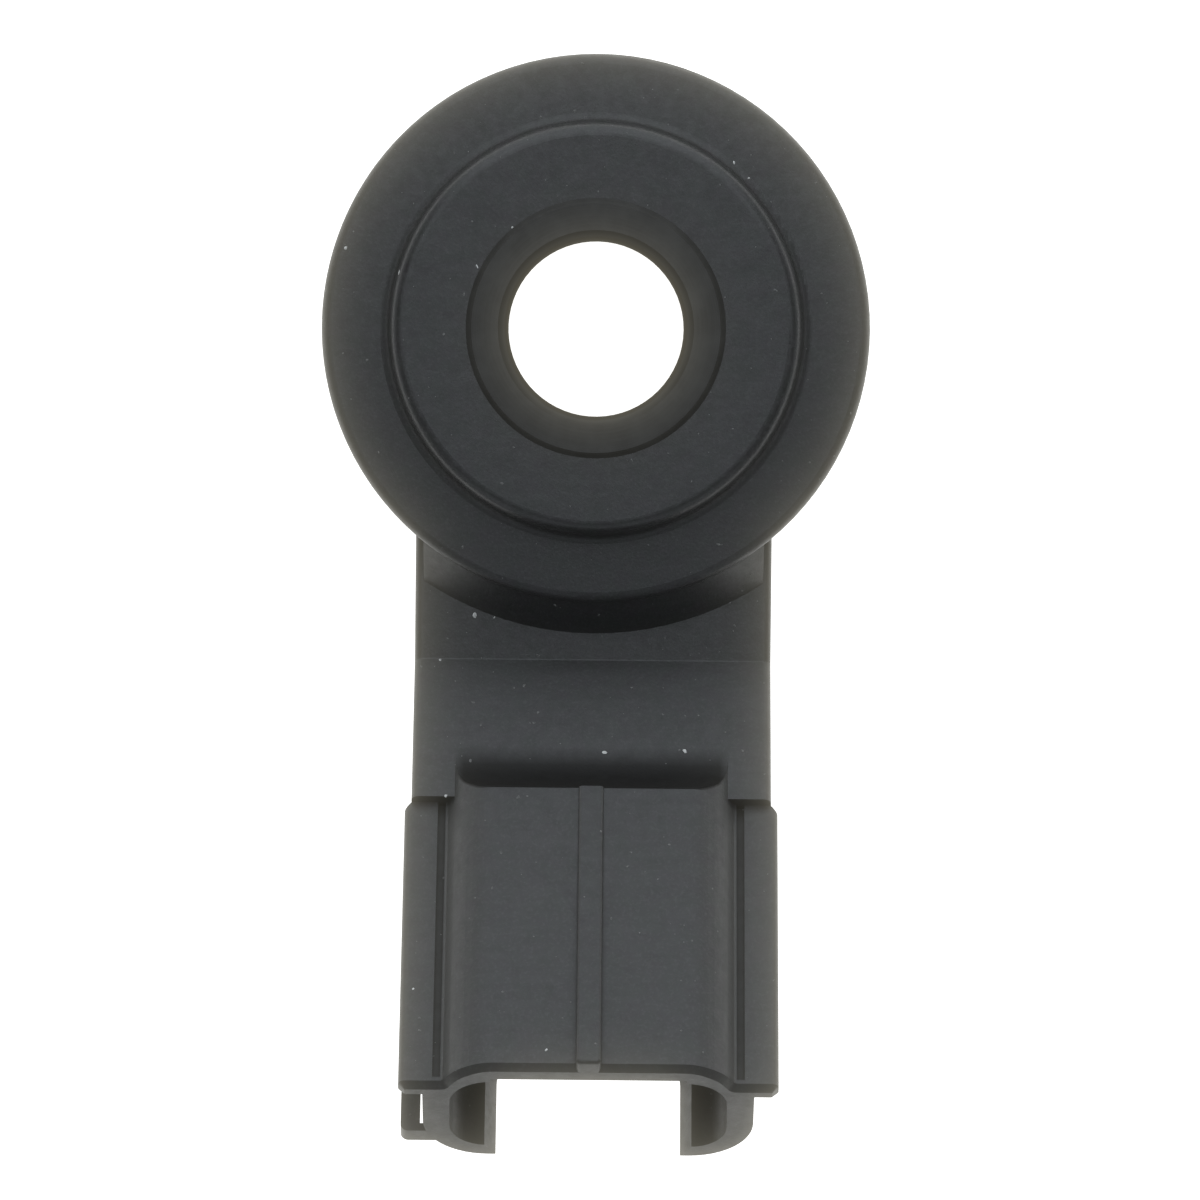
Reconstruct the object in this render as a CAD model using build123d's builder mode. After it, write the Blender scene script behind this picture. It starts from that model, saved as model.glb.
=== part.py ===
"""Knock sensor with an angled two-pin connector, in millimetres.

Z is the axis of the bolt hole and z = 0 is the steel seat face. The connector points
to -Y and rises away from the seat. Positions in the connector are given as a distance
along its axis (0 at the mouth, negative inward) and a depth below its roof.
"""
import os
from math import acos, atan, cos, degrees, radians, sin, tan

from build123d import *

os.makedirs("parts", exist_ok=True)

# Steel bolt sleeve with its seat flange
bore_dia = 8.4
sleeve_dia = 12.0
sleeve_height = 17.0
seat_dia = 22.0
seat_thickness = 3.0
seat_chamfer = 0.3
sleeve_top_chamfer = 0.25
bore_chamfer = 0.32
grip_low = 1.3
grip_high = 1.9
grip_depth = 0.5

# Ring stack clamped on the sleeve, from the seat upward
tube_wall = 0.35
insulator_thickness = 0.3
insulator_dia = 19.6
contact_thickness = 0.3
contact_dia = 19.2
piezo_dia = 19.0
piezo_inner_dia = 13.2
piezo_thickness = 2.8
mass_height = 4.0
mass_edge = 0.3
spring_dia = 18.0
spring_thickness = 0.7
spring_height = 1.1
nut_dia = 18.0
nut_height = 3.0
nut_slot_width = 2.6
nut_slot_depth = 1.2
nut_slots = 4
nut_chamfer = 0.4

lower_insulator_z = seat_thickness
lower_contact_z = lower_insulator_z + insulator_thickness
piezo_z = lower_contact_z + contact_thickness
upper_contact_z = piezo_z + piezo_thickness
upper_insulator_z = upper_contact_z + contact_thickness
mass_z = upper_insulator_z + insulator_thickness
spring_z = mass_z + mass_height
nut_z = spring_z + spring_height

# Terminals
pin_pitch = 5.0
pin_width = 2.8
pin_thickness = 0.8
pin_tip_chamfer = 0.25
pin_recess = 3.0
tab_width = 2.4
tab_reach = 11.6
foot_reach = 10.2
drop_radius = 13.0

# Shunt resistor across the terminals
resistor_dia = 1.8
resistor_length = 3.6
resistor_lead_dia = 0.5
resistor_axial = -14.0
resistor_depth = 2.5
resistor_edge_round = 0.3
resistor_lead_bend = 0.4

# Moulded disc around the stack
disc_dia = 25.4
disc_bottom = 0.5
disc_top = 15.5
flange_fall = 0.2
disc_rim_round = 0.5
disc_foot_round = 0.5
plateau_radius = 9.41
plateau_top = 16.75
plateau_foot_radius = 9.64
plateau_round = 0.62
plateau_foot_round = 0.45

# Neck between the disc and the connector
neck_half_width = 8.29
neck_top = 13.0
neck_fold_radius = 15.44
neck_fold_round = 0.12
neck_edge_round = 0.35
neck_under_round = 2.4
neck_overlap = 1.2
neck_root_radius = 5.0
web_radius = 14.2
web_height = 1.75
web_half_width = 7.9

# Connector hood
hood_angle = 36.0
mouth_radius = 33.31
roof_above_neck = 1.1
hood_half_width = 7.5
hood_height = 7.55
hood_bottom_round = 2.9
hood_length = 15.06
crown_flat_half_width = 4.9
crown_knee_half_width = 6.05
crown_knee_depth = 0.72
crown_foot_half_width = 6.94
crown_round = 2.0
trough_radius = 3.2
trough_reach = 3.3
side_wall = 1.2
roof_wall = 1.2
floor_wall = 0.8
cavity_top_round = 1.9
cavity_bottom_round = 1.7
cavity_length = 11.0
mouth_chamfer = 0.3
channel_half_width = 4.45
channel_depth = 0.25
notch_half_width = 4.21
notch_inner_half_width = 4.72
notch_length = 5.2
notch_corner_round = 1.5
notch_run_out = 2.0
notch_overlap = 0.3

# Rib, wings and rail of the hood
rib_width = 1.15
rib_mouth_height = 0.6
rib_trough_height = 0.2
rib_end_round = 0.2
rib_edge_round = 0.19
wing_half_width = 8.6
wing_depth = 1.62
wing_thickness = 1.0
wing_length = 15.25
wing_blend = 0.2
wing_edge_round = 0.34
wing_corner = 0.45
wing_corner_angle = 45.0
groove_center = 6.88
groove_width = 0.36
groove_depth = 0.3
groove_start = 0.5
groove_reach = 0.9
rail_half_width = 8.53
rail_depth = 5.54
rail_thickness = 0.84
rail_length = 8.0
rail_corner_round = 0.35
slit_x = 7.66
slit_start = 0.4
slit_end = 7.2
rail_bridge_overlap = 0.9

SLOPE = tan(radians(hood_angle))
COS = cos(radians(hood_angle))
SIN = sin(radians(hood_angle))
mouth_z = neck_top + (mouth_radius - neck_fold_radius) * SLOPE + roof_above_neck / COS


def side_point(axial, depth):
    """Y and Z of a place in the connector, on its middle plane."""
    y = -mouth_radius - axial * COS - depth * SIN
    z = mouth_z + axial * SIN - depth * COS
    return y, z


def roof_plane(depth):
    """Plane parallel to the roof: local x is X, local y points into the connector."""
    y, z = side_point(0, depth)
    return Plane(origin=(0, y, z), x_dir=(1, 0, 0), z_dir=(0, SIN, COS))


def ring(inner, outer, low, high):
    """Half section of a plain ring, to be turned around Z."""
    Polyline((inner, low), (outer, low), (outer, high), (inner, high), close=True)


def round_at(sketch, place, radius):
    fillet(sketch.vertices().sort_by_distance(place)[0], radius)


def chamfer_at(sketch, place, length):
    chamfer(sketch.vertices().sort_by_distance(place)[0], length)


# Plane of the connector's mouth: local x is X, local y is up from the roof
mouth_plane = Plane(origin=(0, *side_point(0, 0)), x_dir=(1, 0, 0), z_dir=(0, -COS, SIN))

bore_r = bore_dia / 2
sleeve_r = sleeve_dia / 2
seat_r = seat_dia / 2
tube_r = sleeve_r + tube_wall

# Bolt sleeve
with BuildPart() as sleeve:
    with BuildSketch(Plane.XZ) as sleeve_profile:
        with BuildLine():
            Polyline(
                (bore_r, 0),
                (seat_r, 0),
                (seat_r, grip_low),
                (seat_r - grip_depth, grip_low),
                (seat_r - grip_depth, grip_high),
                (seat_r, grip_high),
                (seat_r, seat_thickness),
                (sleeve_r, seat_thickness),
                (sleeve_r, sleeve_height),
                (bore_r, sleeve_height),
                close=True,
            )
        make_face()
        chamfer_at(sleeve_profile, (bore_r, 0), bore_chamfer)
        chamfer_at(sleeve_profile, (seat_r, 0), seat_chamfer)
        chamfer_at(sleeve_profile, (sleeve_r, sleeve_height), sleeve_top_chamfer)
        chamfer_at(sleeve_profile, (bore_r, sleeve_height), bore_chamfer)
    revolve(axis=Axis.Z)
sleeve.part.label = "bolt_sleeve"
export_step(sleeve.part, "parts/bolt_sleeve.step")

# Insulating tube between the sleeve and the rings
with BuildPart() as tube:
    with BuildSketch(Plane.XZ):
        with BuildLine():
            ring(sleeve_r, tube_r, seat_thickness, spring_z)
        make_face()
    revolve(axis=Axis.Z)
tube.part.label = "insulating_tube"
export_step(tube.part, "parts/insulating_tube.step")

# Insulating washers under and over the contacts
washers = []
for washer_z in (lower_insulator_z, upper_insulator_z):
    with BuildPart() as washer:
        with BuildSketch(Plane.XZ):
            with BuildLine():
                ring(tube_r, insulator_dia / 2, washer_z, washer_z + insulator_thickness)
            make_face()
        revolve(axis=Axis.Z)
    washers.append(washer.part)
for washer_part, washer_name in zip(washers, ("lower_insulator", "upper_insulator")):
    washer_part.label = washer_name
    export_step(washer_part, f"parts/{washer_name}.step")

# Contact plates, each with a tab toward its terminal
contacts = []
for contact_z, tab_x in ((lower_contact_z, pin_pitch / 2), (upper_contact_z, -pin_pitch / 2)):
    with BuildPart() as contact:
        with BuildSketch(Plane.XY.offset(contact_z)):
            Circle(contact_dia / 2)
            with Locations((tab_x, -tab_reach / 2)):
                Rectangle(tab_width, tab_reach)
            Circle(tube_r, mode=Mode.SUBTRACT)
        extrude(amount=contact_thickness)
    contacts.append(contact.part)
for contact_part, contact_name in zip(contacts, ("lower_contact_plate", "upper_contact_plate")):
    contact_part.label = contact_name
    export_step(contact_part, f"parts/{contact_name}.step")

# Piezo ring
with BuildPart() as piezo:
    with BuildSketch(Plane.XZ):
        with BuildLine():
            ring(piezo_inner_dia / 2, piezo_dia / 2, piezo_z, piezo_z + piezo_thickness)
        make_face()
    revolve(axis=Axis.Z)
piezo.part.label = "piezo_ring"
export_step(piezo.part, "parts/piezo_ring.step")

# Seismic mass
with BuildPart() as mass:
    with BuildSketch(Plane.XZ) as mass_profile:
        with BuildLine():
            ring(piezo_inner_dia / 2, piezo_dia / 2, mass_z, mass_z + mass_height)
        make_face()
        chamfer_at(mass_profile, (piezo_dia / 2, mass_z + mass_height), mass_edge)
    revolve(axis=Axis.Z)
mass.part.label = "seismic_mass"
export_step(mass.part, "parts/seismic_mass.step")

# Disc spring, outer edge down on the mass
spring_rise = spring_height - spring_thickness
with BuildPart() as spring:
    with BuildSketch(Plane.XZ):
        with BuildLine():
            Polyline(
                (spring_dia / 2, spring_z),
                (spring_dia / 2, spring_z + spring_thickness),
                (tube_r, spring_z + spring_height),
                (tube_r, spring_z + spring_rise),
                close=True,
            )
        make_face()
    revolve(axis=Axis.Z)
spring.part.label = "disc_spring"
export_step(spring.part, "parts/disc_spring.step")

# Slotted ring nut
with BuildPart() as nut:
    with BuildSketch(Plane.XZ) as nut_profile:
        with BuildLine():
            ring(sleeve_r, nut_dia / 2, nut_z, nut_z + nut_height)
        make_face()
        chamfer_at(nut_profile, (nut_dia / 2, nut_z + nut_height), nut_chamfer)
    revolve(axis=Axis.Z)
    with BuildSketch(Plane.XY.offset(nut_z)):
        with PolarLocations(nut_dia / 2, nut_slots, start_angle=180 / nut_slots):
            Rectangle(2 * nut_slot_depth, nut_slot_width)
    extrude(amount=nut_height, mode=Mode.SUBTRACT)
nut.part.label = "ring_nut"
export_step(nut.part, "parts/ring_nut.step")

# Terminals: a flat pin in the hood, bent down to a foot on its contact plate
pin_depth = (roof_wall + hood_height - floor_wall) / 2
tip = side_point(-pin_recess, pin_depth)
half_pin = pin_thickness / 2


def on_pin_line(radius):
    """Middle of the sloped pin at a distance from the bolt axis."""
    drop = (-tip[0] - radius) * SLOPE
    return -radius, tip[1] - drop


upper_foot_z = upper_contact_z + contact_thickness + half_pin
lower_foot_z = lower_contact_z + contact_thickness + half_pin
upper_bend = -tip[0] - (tip[1] - upper_foot_z) / SLOPE
routes = (
    ("terminal_left", -1, [tip, (-upper_bend, upper_foot_z), (-foot_reach, upper_foot_z)]),
    (
        "terminal_right",
        1,
        [tip, on_pin_line(drop_radius), (-drop_radius, lower_foot_z), (-foot_reach, lower_foot_z)],
    ),
)
terminals = []
for terminal_name, side, route in routes:
    with BuildPart() as terminal:
        with BuildSketch(Plane.YZ.offset(side * pin_pitch / 2)):
            with BuildLine():
                Polyline(*route)
            trace(line_width=pin_thickness)
        extrude(amount=pin_width / 2, both=True)
        tip_point = (side * pin_pitch / 2, *tip)
        chamfer(terminal.faces().sort_by_distance(tip_point)[0].edges(), pin_tip_chamfer)
    terminal.part.label = terminal_name
    terminals.append(terminal.part)
    export_step(terminal.part, f"parts/{terminal_name}.step")

# Shunt resistor, its leads bent down onto the terminals
resistor_y, resistor_z = side_point(resistor_axial, resistor_depth)
lead_y, lead_z = side_point(resistor_axial, pin_depth - half_pin)
lead_x = pin_pitch / 2
with BuildPart() as resistor:
    with BuildSketch(Plane(origin=(0, resistor_y, resistor_z), z_dir=(1, 0, 0))):
        Circle(resistor_dia / 2)
    extrude(amount=resistor_length / 2, both=True)
    fillet(resistor.edges().filter_by(GeomType.CIRCLE), resistor_edge_round)
    with BuildLine() as lead_path:
        FilletPolyline(
            (-lead_x, lead_y, lead_z),
            (-lead_x, resistor_y, resistor_z),
            (lead_x, resistor_y, resistor_z),
            (lead_x, lead_y, lead_z),
            radius=resistor_lead_bend,
        )
    with BuildSketch(Plane(origin=(-lead_x, lead_y, lead_z), z_dir=(0, SIN, COS))):
        Circle(resistor_lead_dia / 2)
    sweep(path=lead_path.wires()[0])
resistor.part.label = "shunt_resistor"
export_step(resistor.part, "parts/shunt_resistor.step")

# Neck, from inside the disc to the start of the wings
neck_end = -wing_length
neck_corner = side_point(neck_end, roof_above_neck)
neck_under = side_point(neck_end, hood_height)
under_radius = disc_dia / 2 - neck_overlap
under_z = neck_under[1] - (-neck_under[0] - under_radius) * SLOPE
with BuildPart() as neck:
    with BuildSketch(Plane.YZ) as neck_profile:
        with BuildLine():
            Polyline(
                (-neck_root_radius, neck_top),
                (-neck_fold_radius, neck_top),
                neck_corner,
                neck_under,
                (-under_radius, under_z),
                (-neck_root_radius, under_z),
                close=True,
            )
        make_face()
        round_at(neck_profile, (-neck_fold_radius, neck_top), neck_fold_round)
    extrude(amount=neck_half_width, both=True)
    for side in (-1, 1):
        side_x = side * neck_half_width
        under_middle = ((neck_under[0] - under_radius) / 2, (neck_under[1] + under_z) / 2)
        fillet(neck.edges().sort_by_distance((side_x, *under_middle))[0], neck_under_round)
        fold_edge = neck.edges().sort_by_distance((side_x, -neck_fold_radius, neck_top))[0]
        flat_edge = neck.edges().sort_by_distance((side_x, -neck_fold_radius / 2, neck_top))[0]
        slope_middle = ((neck_corner[0] - neck_fold_radius) / 2, (neck_corner[1] + neck_top) / 2)
        slope_edge = neck.edges().sort_by_distance((side_x, *slope_middle))[0]
        fillet([flat_edge, fold_edge, slope_edge], neck_edge_round)

# Sloped web between the disc's rim and the neck
disc_r = disc_dia / 2
with BuildPart() as web:
    with BuildSketch(Plane.XZ):
        with BuildLine():
            Polyline(
                (disc_r - neck_overlap, neck_top - neck_overlap),
                (web_radius, neck_top - neck_overlap),
                (web_radius, neck_top),
                (disc_r, neck_top + web_height),
                (disc_r - neck_overlap, neck_top + web_height),
                close=True,
            )
        make_face()
    revolve(axis=Axis.Z)
    with BuildSketch(Plane.XZ):
        with Locations((0, neck_top)):
            Rectangle(2 * web_half_width, 2 * web_height)
    extrude(amount=disc_dia, mode=Mode.INTERSECT)

# Rib along the middle of the roof, lower at the trough than at the mouth
rib_middle = (0, *side_point(-hood_length / 2, -2 * rib_mouth_height))
with BuildPart() as rib:
    with BuildSketch(Plane.YZ) as rib_profile:
        with BuildLine():
            Polyline(
                side_point(0, rib_mouth_height),
                side_point(0, -rib_mouth_height),
                side_point(-hood_length, -rib_trough_height),
                side_point(-hood_length, rib_mouth_height),
                close=True,
            )
        make_face()
        round_at(rib_profile, side_point(0, -rib_mouth_height), rib_end_round)
    extrude(amount=rib_width / 2, both=True)
    rib_sides = rib.edges().filter_by(GeomType.LINE).sort_by_distance(rib_middle)
    fillet(rib_sides[:2], rib_edge_round)

# Space over the slope and in the trough, whose bottom curves up from the slope to the roof
trough_angle = acos(1 - roof_above_neck / trough_radius)
trough_start = -hood_length - trough_radius * sin(trough_angle)
trough_foot = side_point(trough_start, roof_above_neck)
trough_middle = side_point(
    trough_start + trough_radius * sin(trough_angle / 2),
    roof_above_neck - trough_radius * (1 - cos(trough_angle / 2)),
)
with BuildPart() as trough:
    with BuildSketch(Plane.YZ):
        with BuildLine():
            ThreePointArc(trough_foot, trough_middle, side_point(-hood_length, 0))
            Polyline(
                side_point(-hood_length, 0),
                side_point(-hood_length, -roof_above_neck),
                side_point(-hood_length - trough_reach, -roof_above_neck),
                side_point(-hood_length - trough_reach, roof_above_neck),
                trough_foot,
            )
        make_face()
    extrude(amount=hood_half_width, both=True)

# Hood body and its wings, the wings as one plate through the hood
wing_middle = wing_depth + wing_thickness / 2
mouth_middle = (0, *side_point(0, hood_height / 2))
with BuildPart() as hood:
    with BuildSketch(mouth_plane) as hood_section:
        with Locations((0, -(wing_middle + hood_height) / 2)):
            Rectangle(2 * hood_half_width, hood_height - wing_middle)
        with BuildLine():
            Polyline(
                (-crown_foot_half_width, -wing_middle),
                (-crown_knee_half_width, -crown_knee_depth),
                (-crown_flat_half_width, 0),
                (crown_flat_half_width, 0),
                (crown_knee_half_width, -crown_knee_depth),
                (crown_foot_half_width, -wing_middle),
                close=True,
            )
        make_face()
        for side in (-1, 1):
            round_at(hood_section, (side * crown_flat_half_width, 0), crown_round)
            round_at(hood_section, (side * crown_knee_half_width, -crown_knee_depth), crown_round)
            round_at(hood_section, (side * hood_half_width, -hood_height), hood_bottom_round)
    extrude(amount=-hood_length - trough_reach)
    with BuildSketch(mouth_plane) as wing_section:
        with Locations((0, -wing_middle)):
            Rectangle(2 * wing_half_width, wing_thickness)
        fillet(wing_section.vertices(), wing_edge_round)
        add(hood_section.sketch_local)
        for corner_x in (-crown_foot_half_width, crown_foot_half_width):
            round_at(wing_section, (corner_x, -wing_depth), wing_blend)
    extrude(amount=-wing_length)
    mouth_edges = hood.faces().sort_by_distance(mouth_middle)[0].edges()
    wing_level = side_point(0, wing_middle)[1]
    chamfer(mouth_edges.filter_by_position(Axis.Z, wing_level, mouth_z), mouth_chamfer)
    with BuildSketch(roof_plane(wing_depth + groove_depth)):
        for groove_x in (-groove_center, groove_center):
            with Locations((groove_x, (groove_start + wing_length) / 2)):
                Rectangle(groove_width, wing_length - groove_start)
    extrude(amount=groove_reach, mode=Mode.SUBTRACT)
    for side in (-1, 1):
        with BuildSketch(roof_plane(wing_depth)):
            with Locations(Location((side * wing_half_width, wing_length), (0, 0, wing_corner_angle))):
                Rectangle(wing_corner, wing_corner)
        extrude(amount=-wing_thickness, mode=Mode.SUBTRACT)
    add(rib.part)

# Rail under the left wing, bridged to the hood at both ends of a narrow slit
rail_inner_x = hood_half_width - rail_bridge_overlap
with BuildPart() as rail:
    with BuildSketch(roof_plane(rail_depth)) as rail_outline:
        with Locations((-(rail_half_width + slit_x) / 2, rail_length / 2)):
            Rectangle(rail_half_width - slit_x, rail_length)
        for bridge_start, bridge_end in ((0, slit_start), (slit_end, rail_length)):
            with Locations((-(slit_x + rail_inner_x) / 2, (bridge_start + bridge_end) / 2)):
                Rectangle(slit_x - rail_inner_x, bridge_end - bridge_start)
        round_at(rail_outline, (-rail_half_width, 0), rail_corner_round)
    extrude(amount=-rail_thickness)

# Space that the sleeve and the ring stack take in the moulding
with BuildPart() as stack:
    with BuildSketch(Plane.XZ):
        with BuildLine():
            Polyline(
                (0, -disc_bottom),
                (seat_r, -disc_bottom),
                (seat_r, grip_low),
                (seat_r - grip_depth, grip_low),
                (seat_r - grip_depth, grip_high),
                (seat_r, grip_high),
                (seat_r, seat_thickness),
                (insulator_dia / 2, seat_thickness),
                (insulator_dia / 2, lower_contact_z),
                (contact_dia / 2, lower_contact_z),
                (contact_dia / 2, piezo_z),
                (piezo_dia / 2, piezo_z),
                (piezo_dia / 2, upper_contact_z),
                (contact_dia / 2, upper_contact_z),
                (contact_dia / 2, upper_insulator_z),
                (insulator_dia / 2, upper_insulator_z),
                (insulator_dia / 2, mass_z),
                (piezo_dia / 2, mass_z),
                (piezo_dia / 2, spring_z - mass_edge),
                (piezo_dia / 2 - mass_edge, spring_z),
                (spring_dia / 2, spring_z),
                (spring_dia / 2, nut_z),
                (sleeve_r, nut_z),
                (sleeve_r, sleeve_height + disc_bottom),
                (0, sleeve_height + disc_bottom),
                close=True,
            )
        make_face()
    revolve(axis=Axis.Z)

# One-piece moulded housing
with BuildPart() as housing:
    with BuildSketch(Plane.XZ) as disc_profile:
        with BuildLine():
            Polyline(
                (0, disc_bottom),
                (disc_r, disc_bottom),
                (disc_r, disc_top - flange_fall),
                (plateau_foot_radius, disc_top),
                (plateau_radius, plateau_top),
                (0, plateau_top),
                close=True,
            )
        make_face()
        round_at(disc_profile, (disc_r, disc_bottom), disc_foot_round)
        round_at(disc_profile, (disc_r, disc_top - flange_fall), disc_rim_round)
        round_at(disc_profile, (plateau_foot_radius, disc_top), plateau_foot_round)
        round_at(disc_profile, (plateau_radius, plateau_top), plateau_round)
    revolve(axis=Axis.Z)
    add(neck.part)
    add(web.part)
    add(hood.part)
    add(trough.part, mode=Mode.SUBTRACT)
    add(rail.part)
    with BuildSketch(mouth_plane) as cavity_section:
        with Locations((0, -(roof_wall + hood_height - floor_wall) / 2)):
            Rectangle(2 * (hood_half_width - side_wall), hood_height - roof_wall - floor_wall)
        for corner_x in (side_wall - hood_half_width, hood_half_width - side_wall):
            round_at(cavity_section, (corner_x, -roof_wall), cavity_top_round)
            round_at(cavity_section, (corner_x, floor_wall - hood_height), cavity_bottom_round)
    extrude(amount=-cavity_length, mode=Mode.SUBTRACT)
    with BuildSketch(mouth_plane):
        with Locations((0, -roof_wall)):
            Rectangle(2 * channel_half_width, 2 * channel_depth)
    extrude(amount=-cavity_length, mode=Mode.SUBTRACT)
    with BuildSketch(roof_plane(hood_height)) as notch_outline:
        with Locations((0, (notch_length - notch_run_out) / 2)):
            Rectangle(2 * notch_half_width, notch_length + notch_run_out)
        for corner_x in (-notch_half_width, notch_half_width):
            round_at(notch_outline, (corner_x, notch_length), notch_corner_round)
    notch_flare = degrees(atan((notch_inner_half_width - notch_half_width) / floor_wall))
    extrude(amount=floor_wall + notch_overlap, taper=-notch_flare, mode=Mode.SUBTRACT)
    add(stack.part, mode=Mode.SUBTRACT)
    add(nut.part, mode=Mode.SUBTRACT)
    for inner_part in contacts + terminals:
        add(inner_part, mode=Mode.SUBTRACT)
    add(resistor.part, mode=Mode.SUBTRACT)
housing.part.label = "housing"
export_step(housing.part, "parts/housing.step")
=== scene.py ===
"""Materials, dust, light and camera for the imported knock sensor.

The CAD nodes carry the shape. This script gives each of them a procedural material, lays
the dust of the photograph on the moulding, and lights it softly on a white table, whose glow
in the lens is added to the picture. Lengths are in metres where nothing else is said.
"""
import math
import random

import bmesh
import bpy
from mathutils import Matrix, Vector
from mathutils.bvhtree import BVHTree


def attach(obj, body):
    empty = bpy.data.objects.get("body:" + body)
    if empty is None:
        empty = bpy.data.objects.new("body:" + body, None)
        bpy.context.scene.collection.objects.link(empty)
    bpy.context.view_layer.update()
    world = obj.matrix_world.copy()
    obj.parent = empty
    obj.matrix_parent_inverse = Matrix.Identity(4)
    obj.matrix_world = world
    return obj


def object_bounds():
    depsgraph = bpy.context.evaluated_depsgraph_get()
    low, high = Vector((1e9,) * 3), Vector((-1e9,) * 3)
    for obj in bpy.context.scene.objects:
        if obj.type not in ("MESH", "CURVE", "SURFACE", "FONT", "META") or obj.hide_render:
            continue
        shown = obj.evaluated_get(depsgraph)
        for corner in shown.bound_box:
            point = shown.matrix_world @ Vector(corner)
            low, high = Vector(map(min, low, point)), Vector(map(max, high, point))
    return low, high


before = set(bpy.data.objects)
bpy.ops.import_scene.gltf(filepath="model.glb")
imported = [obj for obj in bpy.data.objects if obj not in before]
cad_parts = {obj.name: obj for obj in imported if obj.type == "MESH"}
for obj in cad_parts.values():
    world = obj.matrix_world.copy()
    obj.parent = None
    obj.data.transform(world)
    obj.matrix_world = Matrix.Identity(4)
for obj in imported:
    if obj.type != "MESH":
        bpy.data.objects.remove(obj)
cad_low, cad_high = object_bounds()

MM = 0.001
SEED = 7
BORE_R = 4.2 * MM
PLATEAU_R = 9.41 * MM
HOOD_ANGLE = math.radians(36)
# Y and Z of the middle of the roof's edge at the connector's mouth
MOUTH_Y = -33.31 * MM
MOUTH_Z = 27.343 * MM
# Middle of the hollow curve at the hood's back, along the connector and above its roof
HOLLOW_ALONG = -17.475 * MM
HOLLOW_ABOVE = 2.1 * MM
HOLLOW_R = 3.2 * MM
# Where the painted shade and painted highlight start, are full, fade and end, in mm: along the
# connector from its mouth (negative inward), to either side of its middle plane, and in depth below
# its roof
HOLLOW_SHADE_BANDS = ((-18.1, -17.0, -15.12, -15.06), (-0.1, 0, 5.9, 6.4))
GROOVE_SHADE_BANDS = ((-15.3, -15.2, -0.5, -0.4), (6.66, 6.72, 7.04, 7.10), (1.6, 1.7, 1.95, 2.05))
SHOULDER_HIGHLIGHT_BANDS = ((-15.1, -14.9, -0.5, -0.3), (6.05, 6.25, 6.62, 6.68), (0.6, 0.8, 1.6, 1.64))
FLAKE_CORNERS = 7
FAINT_SPECKS = 420
COOL = (0.87, 0.93, 1.0)
# Place, width and height, and watts of each soft light, all aimed at one place on the sensor
LIGHTS = {
    "back_wall": ((0, 0.5, 0.3), (1.0, 0.6), 2.6),
    "left_wall": ((-0.45, 0.02, 0.12), (0.7, 0.22), 0.2),
    "right_wall": ((0.45, 0.02, 0.12), (0.7, 0.22), 0.2),
    "front_wall": ((0, -0.5, 0.3), (1.0, 0.5), 0.85),
    "ceiling": ((0, 0.17, 0.6), (0.6, 0.45), 1.35),
}
LIT_PLACE = Vector((0, -12 * MM, 15 * MM))
# Reach of each layer of the glow as a share of the picture's width, and its strength
GLOWS = ((0.013, 0.09), (0.055, 0.09), (0.11, 0.03))
GLOW_COLOUR = (1.0, 0.93, 0.72, 1.0)


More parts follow.
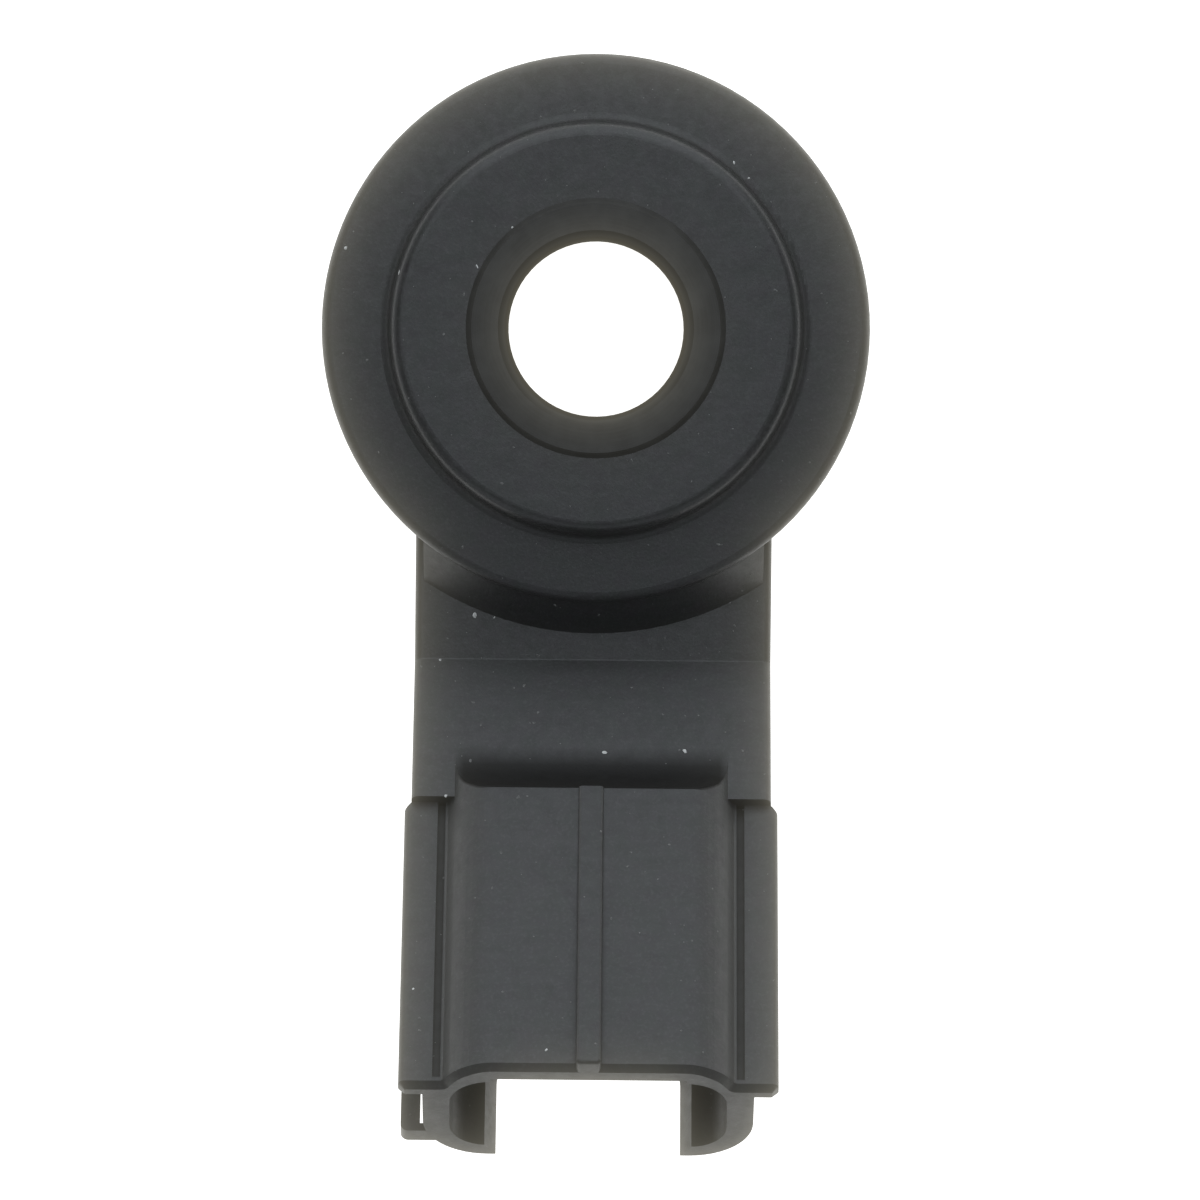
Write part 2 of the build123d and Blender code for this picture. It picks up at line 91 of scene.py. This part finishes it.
class Nodes:
    """Node tree of one material: adds nodes, sets their inputs and links them."""

    def __init__(self, name):
        self.material = bpy.data.materials.new(name)
        self.material.use_nodes = True
        self.tree = self.material.node_tree
        self.tree.nodes.clear()
        self.shader = self.add("ShaderNodeBsdfPrincipled")
        output = self.add("ShaderNodeOutputMaterial")
        self.link(self.shader.outputs["BSDF"], output.inputs["Surface"])
        self.place = self.add("ShaderNodeTexCoord").outputs["Object"]

    def add(self, kind, inputs=None, **settings):
        node = self.tree.nodes.new(kind)
        for key, value in settings.items():
            setattr(node, key, value)
        for key, value in (inputs or {}).items():
            if isinstance(value, bpy.types.NodeSocket):
                self.link(value, node.inputs[key])
            else:
                node.inputs[key].default_value = value
        return node

    def link(self, source, target):
        self.tree.links.new(source, target)

    def noise(self, feature, detail=2.0, roughness=0.5, place=None, stretch=(1, 1, 1)):
        """Noise whose features are about that long, in metres. stretch lengthens them per axis."""
        scale = tuple(1 / s for s in stretch)
        mapping = self.add("ShaderNodeMapping", {"Vector": place or self.place, "Scale": scale})
        texture = self.add("ShaderNodeTexNoise", {
            "Vector": mapping.outputs["Vector"],
            "Scale": 1 / feature,
            "Detail": detail,
            "Roughness": roughness,
        })
        return texture.outputs["Fac"]

    def spread(self, value, low, high, to_low=0.0, to_high=1.0):
        """Maps low..high of a value to to_low..to_high, and stops at both ends."""
        return self.add("ShaderNodeMapRange", {
            "Value": value,
            "From Min": low,
            "From Max": high,
            "To Min": to_low,
            "To Max": to_high,
        }).outputs["Result"]

    def math(self, operation, first, second=0.0):
        node = self.add("ShaderNodeMath", {0: first, 1: second}, operation=operation)
        return node.outputs["Value"]

    def mix(self, factor, first, second):
        """Blend of two colours, each a socket or three numbers."""
        node = self.add("ShaderNodeMix", data_type="RGBA")
        pairs = ((node.inputs[0], factor), (node.inputs[6], first), (node.inputs[7], second))
        for socket, value in pairs:
            if isinstance(value, bpy.types.NodeSocket):
                self.link(value, socket)
            elif isinstance(value, tuple):
                socket.default_value = (*value, 1.0)
            else:
                socket.default_value = value
        return node.outputs[2]

    def shifted(self, by):
        """Texture place moved by that much, for a pattern of its own."""
        place = self.add("ShaderNodeVectorMath", {0: self.place, 1: (by, by, by)}, operation="ADD")
        return place.outputs["Vector"]

    def radius(self):
        """Distance from the bolt axis."""
        flat = self.add("ShaderNodeVectorMath", {0: self.place, 1: (1, 1, 0)}, operation="MULTIPLY")
        length = self.add("ShaderNodeVectorMath", {0: flat.outputs["Vector"]}, operation="LENGTH")
        return length.outputs["Value"]

    def in_hood(self):
        """Place along the connector, distance from its middle plane, and depth below its roof."""
        split = self.add("ShaderNodeSeparateXYZ", {0: self.place}).outputs
        outward = self.math("SUBTRACT", MOUTH_Y, split["Y"])
        upward = self.math("SUBTRACT", split["Z"], MOUTH_Z)
        cos, sin = math.cos(HOOD_ANGLE), math.sin(HOOD_ANGLE)
        out_cos, up_sin = self.math("MULTIPLY", outward, cos), self.math("MULTIPLY", upward, sin)
        out_sin, up_cos = self.math("MULTIPLY", outward, sin), self.math("MULTIPLY", upward, cos)
        along = self.math("ADD", out_cos, up_sin)
        depth = self.math("SUBTRACT", out_sin, up_cos)
        return along, self.math("ABSOLUTE", split["X"]), depth

    def band(self, value, start, full, fade, end):
        """Zero below start, one between full and fade, zero above end, all four in mm."""
        rise = self.spread(value, start * MM, full * MM)
        return self.math("MULTIPLY", rise, self.spread(value, fade * MM, end * MM, 1.0, 0.0))

    def bump(self, height, distance, strength, under=None):
        inputs = {"Height": height, "Distance": distance, "Strength": strength}
        if under is not None:
            inputs["Normal"] = under
        return self.add("ShaderNodeBump", inputs).outputs["Normal"]

    def set(self, **values):
        """Inputs of the shader, by name with _ for a space."""
        for key, value in values.items():
            socket = self.shader.inputs[key.replace("_", " ")]
            if isinstance(value, bpy.types.NodeSocket):
                self.link(value, socket)
            elif isinstance(value, tuple):
                socket.default_value = (*value, 1.0)
            else:
                socket.default_value = value


def hollow_painted_shade(n, along, side, depth):
    """Painted shade mask: one on the hollow curve at the hood's back and the slope just before it,
    else zero.
    """
    along_band, side_band = HOLLOW_SHADE_BANDS
    film = n.math("MULTIPLY", n.band(along, *along_band), n.band(side, *side_band))
    from_middle = n.add("ShaderNodeCombineXYZ", {
        0: n.math("SUBTRACT", along, HOLLOW_ALONG),
        1: n.math("ADD", depth, HOLLOW_ABOVE),
    }).outputs["Vector"]
    reach = n.add("ShaderNodeVectorMath", {0: from_middle}, operation="LENGTH").outputs["Value"]
    on_curve = n.spread(reach, HOLLOW_R + 0.03 * MM, HOLLOW_R + 0.09 * MM, 1.0, 0.0)
    return n.math("MULTIPLY", film, on_curve)


def patch(n, in_hood, bands):
    """One inside all three bands, fading to zero around them."""
    along, side, depth = (n.band(value, *limits) for value, limits in zip(in_hood, bands))
    return n.math("MULTIPLY", n.math("MULTIPLY", along, side), depth)


def worn_ring(n):
    """One on the plateau's edge, where it is rubbed smoother, else zero."""
    radius = n.radius()
    inner = n.spread(radius, PLATEAU_R - 0.45 * MM, PLATEAU_R - 0.25 * MM)
    outer = n.spread(radius, PLATEAU_R - 0.05 * MM, PLATEAU_R + 0.05 * MM, 1.0, 0.0)
    return n.math("MULTIPLY", inner, outer)


def moulded_nylon(name):
    """Dark glass-filled nylon: grain, flow marks, clouds, a worn edge, painted shade in the hollow
    and grooves, and a painted highlight on the crown's sides.
    """
    n = Nodes(name)
    cloud = n.spread(n.noise(2.2 * MM, detail=4, roughness=0.6), 0.35, 0.65)
    body = n.mix(cloud, (0.0118, 0.0124, 0.0131), (0.0172, 0.0177, 0.0184))
    tint = n.spread(n.noise(0.9 * MM, detail=3, place=n.shifted(0.05)), 0.38, 0.62)
    body = n.mix(0.5, body, n.mix(tint, (0.0125, 0.0165, 0.0150), (0.0170, 0.0140, 0.0185)))
    flow = n.spread(n.noise(0.4 * MM, detail=3, stretch=(8, 1, 1)), 0.42, 0.68)
    body = n.mix(n.math("MULTIPLY", flow, 0.25), body, (0.026, 0.027, 0.028))
    fibre = n.spread(n.noise(0.16 * MM, detail=3, roughness=0.6), 0.5, 0.72)
    body = n.mix(n.math("MULTIPLY", fibre, 0.4), body, (0.044, 0.045, 0.046))
    rough = n.spread(n.noise(0.5 * MM, detail=5, roughness=0.65), 0.3, 0.7, 0.40, 0.56)
    rough = n.math("SUBTRACT", rough, n.math("MULTIPLY", worn_ring(n), 0.12))
    grain = n.bump(n.noise(0.14 * MM, detail=3, roughness=0.6), 0.014 * MM, 0.6)
    waves = n.bump(n.noise(3 * MM, detail=1), 0.05 * MM, 0.25, grain)
    in_hood = n.in_hood()
    # Painted shade in the grooves beside the roof, at three quarters of full strength
    groove_shade = n.math("MULTIPLY", patch(n, in_hood, GROOVE_SHADE_BANDS), 0.75)
    # Painted shade: the film mask darkens the hollow at the hood's back and the grooves beside the
    # roof
    film = n.math("MAXIMUM", hollow_painted_shade(n, *in_hood), groove_shade)
    body = n.mix(film, body, (0.006, 0.006, 0.0065))
    # Painted highlight: the crown's steep sides beside the grooves are lightened
    shoulder_highlight = n.math("MULTIPLY", patch(n, in_hood, SHOULDER_HIGHLIGHT_BANDS), 0.8)
    body = n.mix(shoulder_highlight, body, (0.050, 0.050, 0.049))
    n.set(Base_Color=body, Roughness=rough, IOR=1.53, Normal=waves)
    # The painted shade also lowers the specular level where the film mask is one
    n.set(Specular_IOR_Level=n.spread(film, 0, 1, 0.5, 0.2))
    return n.material


def dark_steel(name):
    """Phosphated turned steel: dark, with faint turning rings around Z and a dull bore."""
    n = Nodes(name)
    radius = n.radius()
    height = n.add("ShaderNodeSeparateXYZ", {0: n.place}).outputs["Z"]
    along = n.add("ShaderNodeCombineXYZ", {0: radius, 1: height}).outputs["Vector"]
    rings = n.noise(0.09 * MM, detail=3, place=along)
    blotch = n.spread(n.noise(1.1 * MM, detail=4), 0.35, 0.65)
    body = n.mix(blotch, (0.018, 0.018, 0.018), (0.030, 0.030, 0.029))
    body = n.mix(n.math("MULTIPLY", n.spread(rings, 0.45, 0.65), 0.3), body, (0.045, 0.045, 0.043))
    outside = n.spread(radius, BORE_R + 0.03 * MM, BORE_R + 0.08 * MM)
    rough = n.add("ShaderNodeMapRange", {
        "Value": outside, "To Min": 0.85, "To Max": n.spread(rings, 0.3, 0.7, 0.42, 0.54),
    }).outputs["Result"]
    half = n.math("MULTIPLY", outside, 0.5)
    n.set(Base_Color=body, Metallic=half, Roughness=rough, Normal=n.bump(rings, 0.004 * MM, 0.4))
    n.set(Specular_IOR_Level=half)
    return n.material


def streaked(name, dark, light, metallic, roughness, stretch):
    """Metal or film with fine streaks between two tones."""
    n = Nodes(name)
    streaks = n.noise(0.2 * MM, detail=3, stretch=stretch)
    cloud = n.spread(n.noise(1.5 * MM, detail=3), 0.3, 0.7)
    body = n.mix(n.math("MULTIPLY", n.math("ADD", streaks, cloud), 0.5), dark, light)
    rough = n.spread(streaks, 0.3, 0.7, roughness - 0.06, roughness + 0.08)
    grain = n.bump(streaks, 0.004 * MM, 0.4)
    n.set(Base_Color=body, Metallic=metallic, Roughness=rough, Normal=grain)
    return n.material


AMBER = ((0.52, 0.25, 0.04), (0.66, 0.36, 0.07))
BRASS = ((0.50, 0.34, 0.13), (0.66, 0.48, 0.22))
TIN = ((0.46, 0.45, 0.42), (0.66, 0.65, 0.61))
ROUND = (1, 1, 1)
DOWN_PIN = (1, 12, 12)
# Material's name, dark and light tone, metallic, roughness, and how the streaks are stretched
inner_looks = {
    "insulating_tube": ("film", *AMBER, 0.0, 0.35, ROUND),
    "lower_insulator": ("film_lower", *AMBER, 0.0, 0.35, ROUND),
    "upper_insulator": ("film_upper", *AMBER, 0.0, 0.35, ROUND),
    "lower_contact_plate": ("brass_lower", *BRASS, 1.0, 0.32, DOWN_PIN),
    "upper_contact_plate": ("brass_upper", *BRASS, 1.0, 0.32, DOWN_PIN),
    "piezo_ring": ("ceramic", (0.44, 0.40, 0.30), (0.58, 0.54, 0.44), 0.2, 0.5, ROUND),
    "seismic_mass": ("turned_mass", (0.26, 0.26, 0.27), (0.40, 0.40, 0.41), 1.0, 0.36, ROUND),
    "disc_spring": ("blued_spring", (0.06, 0.07, 0.10), (0.13, 0.14, 0.18), 1.0, 0.34, ROUND),
    "ring_nut": ("plated_nut", (0.40, 0.40, 0.38), (0.55, 0.55, 0.52), 1.0, 0.3, ROUND),
    "terminal_left": ("tin_left", *TIN, 1.0, 0.3, DOWN_PIN),
    "terminal_right": ("tin_right", *TIN, 1.0, 0.3, DOWN_PIN),
    "shunt_resistor": ("resistor_lacquer", (0.30, 0.22, 0.12), (0.46, 0.36, 0.22), 0.0, 0.4, ROUND),
}

looks = {"housing": moulded_nylon("moulded_nylon"), "bolt_sleeve": dark_steel("dark_steel")}
for node_name, (look_name, *settings) in inner_looks.items():
    looks[node_name] = streaked(look_name, *settings)
for node_name, material in looks.items():
    for material_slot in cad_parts[node_name].material_slots:
        material_slot.material = material


def surface_of(node_name):
    """Tree of a CAD node's faces, to drop things onto."""
    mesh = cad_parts[node_name].data
    points = [v.co for v in mesh.vertices]
    return BVHTree.FromPolygons(points, [tuple(p.vertices) for p in mesh.polygons])


def flake(mesh, hit, normal, length, width, turn, chance):
    """Adds one irregular speck of dust: a low crowned polygon lying on the surface."""
    across = normal.orthogonal().normalized()
    spin = Matrix.Rotation(turn, 3, normal)
    u = spin @ across
    v = normal.cross(u)
    rim = []
    for corner in range(FLAKE_CORNERS):
        angle = 2 * math.pi * corner / FLAKE_CORNERS
        reach = chance.uniform(0.75, 1.15) / 2
        flat = u * (math.cos(angle) * length * reach) + v * (math.sin(angle) * width * reach)
        rim.append(mesh.verts.new(hit + flat + normal * (0.004 * MM)))
    top = mesh.verts.new(hit + normal * (0.22 * min(length, width)))
    for corner in range(FLAKE_CORNERS):
        mesh.faces.new((rim[corner], rim[(corner + 1) % FLAKE_CORNERS], top))
    mesh.faces.new(rim[::-1])


def dust_material(name, dark, light):
    n = Nodes(name)
    tone = n.noise(0.08 * MM, detail=2)
    body = n.mix(n.spread(tone, 0.35, 0.65), dark, light)
    n.set(Base_Color=body, Roughness=0.8, Normal=n.bump(tone, 0.01 * MM, 0.6))
    return n.material


# Bright specks seen in the photograph: X and Y, length and width in mm, turn in degrees
BRIGHT_SPECKS = (
    (-11.6, 3.6, 0.20, 0.16, 0), (6.3, 7.7, 0.20, 0.10, 60), (7.0, 7.0, 0.12, 0.10, 0),
    (-3.9, 4.6, 0.14, 0.09, 10), (-5.5, -13.4, 0.30, 0.22, 40), (-7.1, -15.5, 0.14, 0.14, 0),
    (0.6, -19.6, 0.24, 0.17, 120), (4.3, -19.5, 0.26, 0.18, 60), (-6.7, -21.6, 0.18, 0.14, 30),
    (-8.0, -30.1, 0.12, 0.10, 0), (-1.9, -32.5, 0.16, 0.10, 0), (-4.6, -13.5, 0.14, 0.08, 20),
    (-5.5, 2.8, 0.24, 0.07, 75), (-9.1, 2.5, 0.26, 0.08, 55),
)

moulding = surface_of("housing")
chance = random.Random(SEED)


def top_of_moulding(x, y):
    """Place and normal of the moulding's upper surface there."""
    hit, normal, _, _ = moulding.ray_cast(Vector((x, y, 2 * cad_high.z)), Vector((0, 0, -1)))
    return hit, normal


def dust_object(name, mesh_in, material):
    mesh = bpy.data.meshes.new(name)
    mesh_in.to_mesh(mesh)
    mesh_in.free()
    mesh.materials.append(material)
    dust = bpy.data.objects.new(name, mesh)
    bpy.context.scene.collection.objects.link(dust)
    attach(dust, "root")


def bright_dust():
    mesh = bmesh.new()
    for x, y, length, width, turn in BRIGHT_SPECKS:
        hit, normal = top_of_moulding(x * MM, y * MM)
        flake(mesh, hit, normal, length * MM, width * MM, math.radians(turn), chance)
    pale = dust_material("pale_dust", (0.40, 0.40, 0.38), (0.72, 0.72, 0.70))
    dust_object("dust_specks", mesh, pale)


def faint_dust(count):
    mesh = bmesh.new()
    for _ in range(count):
        x = chance.uniform(cad_low.x, cad_high.x)
        y = chance.uniform(cad_low.y, cad_high.y)
        hit, normal = top_of_moulding(x, y)
        size = 0.05 * MM + 0.09 * MM * chance.random() ** 3
        turn = chance.uniform(0, 2 * math.pi)
        if hit is not None and normal.z > 0.6:
            flake(mesh, hit, normal, size * chance.uniform(1, 1.8), size, turn, chance)
    grey = dust_material("grey_dust", (0.06, 0.06, 0.06), (0.16, 0.16, 0.155))
    dust_object("dust_film", mesh, grey)


bright_dust()
faint_dust(FAINT_SPECKS)


def white_table():
    """Flat pale table top that glows a little, as a lit photographic table does."""
    bpy.ops.mesh.primitive_plane_add(size=6, location=(0, 0, -0.00002))
    table = bpy.context.object
    table.name = "table"
    n = Nodes("table_white")
    tone = n.mix(n.noise(0.2, detail=1), (0.82, 0.82, 0.80), (0.86, 0.86, 0.84))
    n.set(Base_Color=tone, Roughness=0.7)
    n.set(Emission_Color=(1.0, 0.995, 0.975), Emission_Strength=1.05)
    table.data.materials.append(n.material)


def soft_light(name, place, size, power):
    """Cool rectangular area light aimed at the sensor."""
    light = bpy.data.lights.new(name, "AREA")
    light.shape = "RECTANGLE"
    light.size = size[0]
    light.size_y = size[1]
    light.energy = power
    light.color = COOL
    lamp = bpy.data.objects.new(name, light)
    bpy.context.scene.collection.objects.link(lamp)
    lamp.location = place
    lamp.rotation_euler = (Vector(place) - LIT_PLACE).to_track_quat("Z", "Y").to_euler()


white_table()
for light_name, settings in LIGHTS.items():
    soft_light(light_name, *settings)

world = bpy.data.worlds.new("studio")
world.use_nodes = True
background = world.node_tree.nodes["Background"].inputs
background["Color"].default_value = (0.95, 0.97, 1.0, 1.0)
background["Strength"].default_value = 0.02
scene = bpy.context.scene
scene.world = world
scene.view_settings.view_transform = "Standard"

# Camera almost straight above the bolt hole
camera_data = bpy.data.cameras.new("camera")
camera_data.sensor_width = 36.0
camera_data.lens = 252.0
camera_data.clip_start = 0.01
camera = bpy.data.objects.new("camera", camera_data)
scene.collection.objects.link(camera)
camera.location = (0.2 * MM, -1.0 * MM, 404 * MM)
camera.rotation_euler = (math.radians(-1.705), 0, math.radians(0.564))
scene.camera = camera


def lens_glow():
    """Adds the soft warm glow that the white table throws over dark edges in the lens."""
    scene.use_nodes = True
    tree = scene.node_tree
    tree.nodes.clear()
    layers = tree.nodes.new("CompositorNodeRLayers")
    white = tree.nodes.new("CompositorNodeMixRGB")
    white.blend_type = "DARKEN"
    white.inputs[2].default_value = (1.0, 1.0, 1.0, 1.0)
    tree.links.new(layers.outputs["Image"], white.inputs[1])
    warm = tree.nodes.new("CompositorNodeMixRGB")
    warm.blend_type = "MULTIPLY"
    warm.inputs[2].default_value = GLOW_COLOUR
    tree.links.new(white.outputs["Image"], warm.inputs[1])
    total = white.outputs["Image"]
    for radius, strength in GLOWS:
        size = tree.nodes.new("CompositorNodeRelativeToPixel")
        size.data_type = "FLOAT"
        size.reference_dimension = "X"
        size.inputs[1].default_value = radius
        tree.links.new(layers.outputs["Image"], size.inputs["Image"])
        blur = tree.nodes.new("CompositorNodeBlur")
        blur.filter_type = "GAUSS"
        tree.links.new(warm.outputs["Image"], blur.inputs["Image"])
        tree.links.new(size.outputs[0], blur.inputs["Size"])
        glow = tree.nodes.new("CompositorNodeMixRGB")
        glow.blend_type = "ADD"
        glow.inputs["Fac"].default_value = strength
        tree.links.new(total, glow.inputs[1])
        tree.links.new(blur.outputs["Image"], glow.inputs[2])
        total = glow.outputs["Image"]
    picture = tree.nodes.new("CompositorNodeComposite")
    tree.links.new(total, picture.inputs["Image"])


lens_glow()
